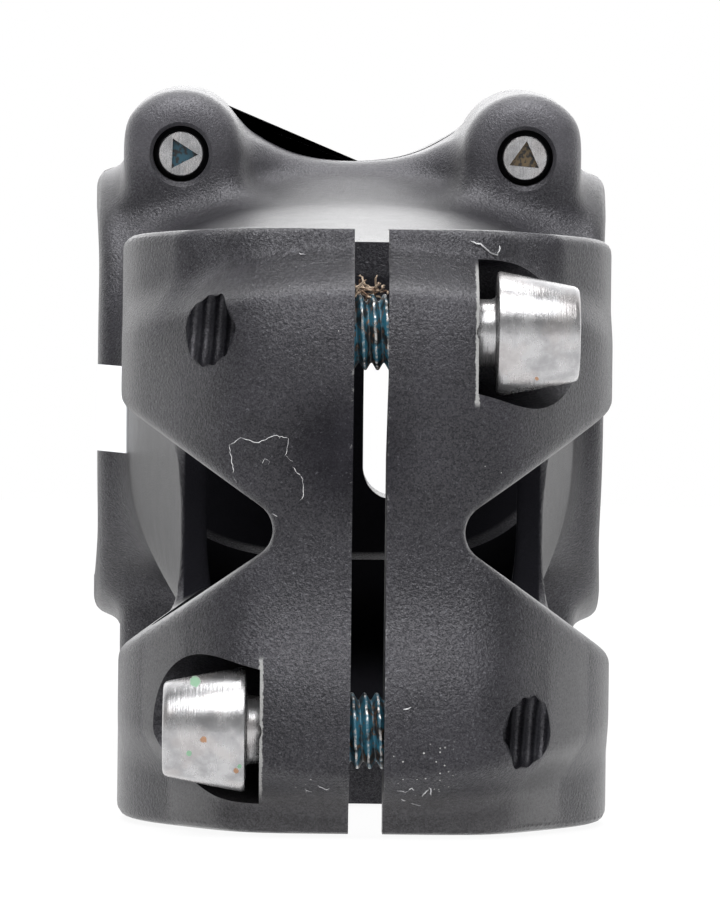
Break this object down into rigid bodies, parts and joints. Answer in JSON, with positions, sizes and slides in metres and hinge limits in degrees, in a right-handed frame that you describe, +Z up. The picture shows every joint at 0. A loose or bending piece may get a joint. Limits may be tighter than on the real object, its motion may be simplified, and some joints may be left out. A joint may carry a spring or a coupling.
{
  "type": "bicycle handlebar stem",
  "caption": "Bicycle handlebar stem with a slotted steerer clamp, opposed pinch bolts, side notches, a hollow rising extension and a bolted faceplate.",
  "frame": {"origin": "on the steerer axis, level with the bottom face of the steerer clamp", "axes": "+Z up along the steerer, +Y forward towards the handlebar, +X to the rider's right"},
  "size_m": [0.0436, 0.1401, 0.0567],
  "materials": {
    "anodised_black": "blasted and anodised, matte black",
    "bolt_steel": "worn, polished steel"
  },
  "bodies": {
    "stem": {"stem_body": "anodised_black"},
    "faceplate": {"faceplate": "anodised_black"},
    "upper_pinch_bolt": {"upper_pinch_bolt": "bolt_steel"},
    "lower_pinch_bolt": {"lower_pinch_bolt": "bolt_steel"},
    "faceplate_bolt_upper_left": {"faceplate_bolt_upper_left": "bolt_steel"},
    "faceplate_bolt_upper_right": {"faceplate_bolt_upper_right": "bolt_steel"},
    "faceplate_bolt_lower_left": {"faceplate_bolt_lower_left": "bolt_steel"},
    "faceplate_bolt_lower_right": {"faceplate_bolt_lower_right": "bolt_steel"}
  },
  "joints": [
    {"name": "faceplate_lift", "type": "slide", "parent": "stem", "child": "faceplate", "axis": [0, 0.9945, 0.1045], "range_m": [0, 0.03]},
    {"name": "faceplate_bolt_upper_left_turn", "type": "hinge", "parent": "faceplate", "child": "faceplate_bolt_upper_left", "pos_m": [-0.0144, 0.10561, 0.05172], "axis": [0, 0.9945, 0.1045], "continuous": true},
    {"name": "faceplate_bolt_upper_right_turn", "type": "hinge", "parent": "faceplate", "child": "faceplate_bolt_upper_right", "pos_m": [0.0144, 0.10561, 0.05172], "axis": [0, 0.9945, 0.1045], "continuous": true},
    {"name": "faceplate_bolt_lower_left_turn", "type": "hinge", "parent": "faceplate", "child": "faceplate_bolt_lower_left", "pos_m": [-0.0144, 0.11, 0.00995], "axis": [0, 0.9945, 0.1045], "continuous": true},
    {"name": "faceplate_bolt_lower_right_turn", "type": "hinge", "parent": "faceplate", "child": "faceplate_bolt_lower_right", "pos_m": [0.0144, 0.11, 0.00995], "axis": [0, 0.9945, 0.1045], "continuous": true},
    {"name": "upper_pinch_bolt_turn", "type": "hinge", "parent": "stem", "child": "upper_pinch_bolt", "pos_m": [0.00805, -0.0174, 0.0323], "axis": [1, 0, 0], "continuous": true},
    {"name": "lower_pinch_bolt_turn", "type": "hinge", "parent": "stem", "child": "lower_pinch_bolt", "pos_m": [-0.00775, -0.0174, 0.0067], "axis": [1, 0, 0], "continuous": true}
  ]
}
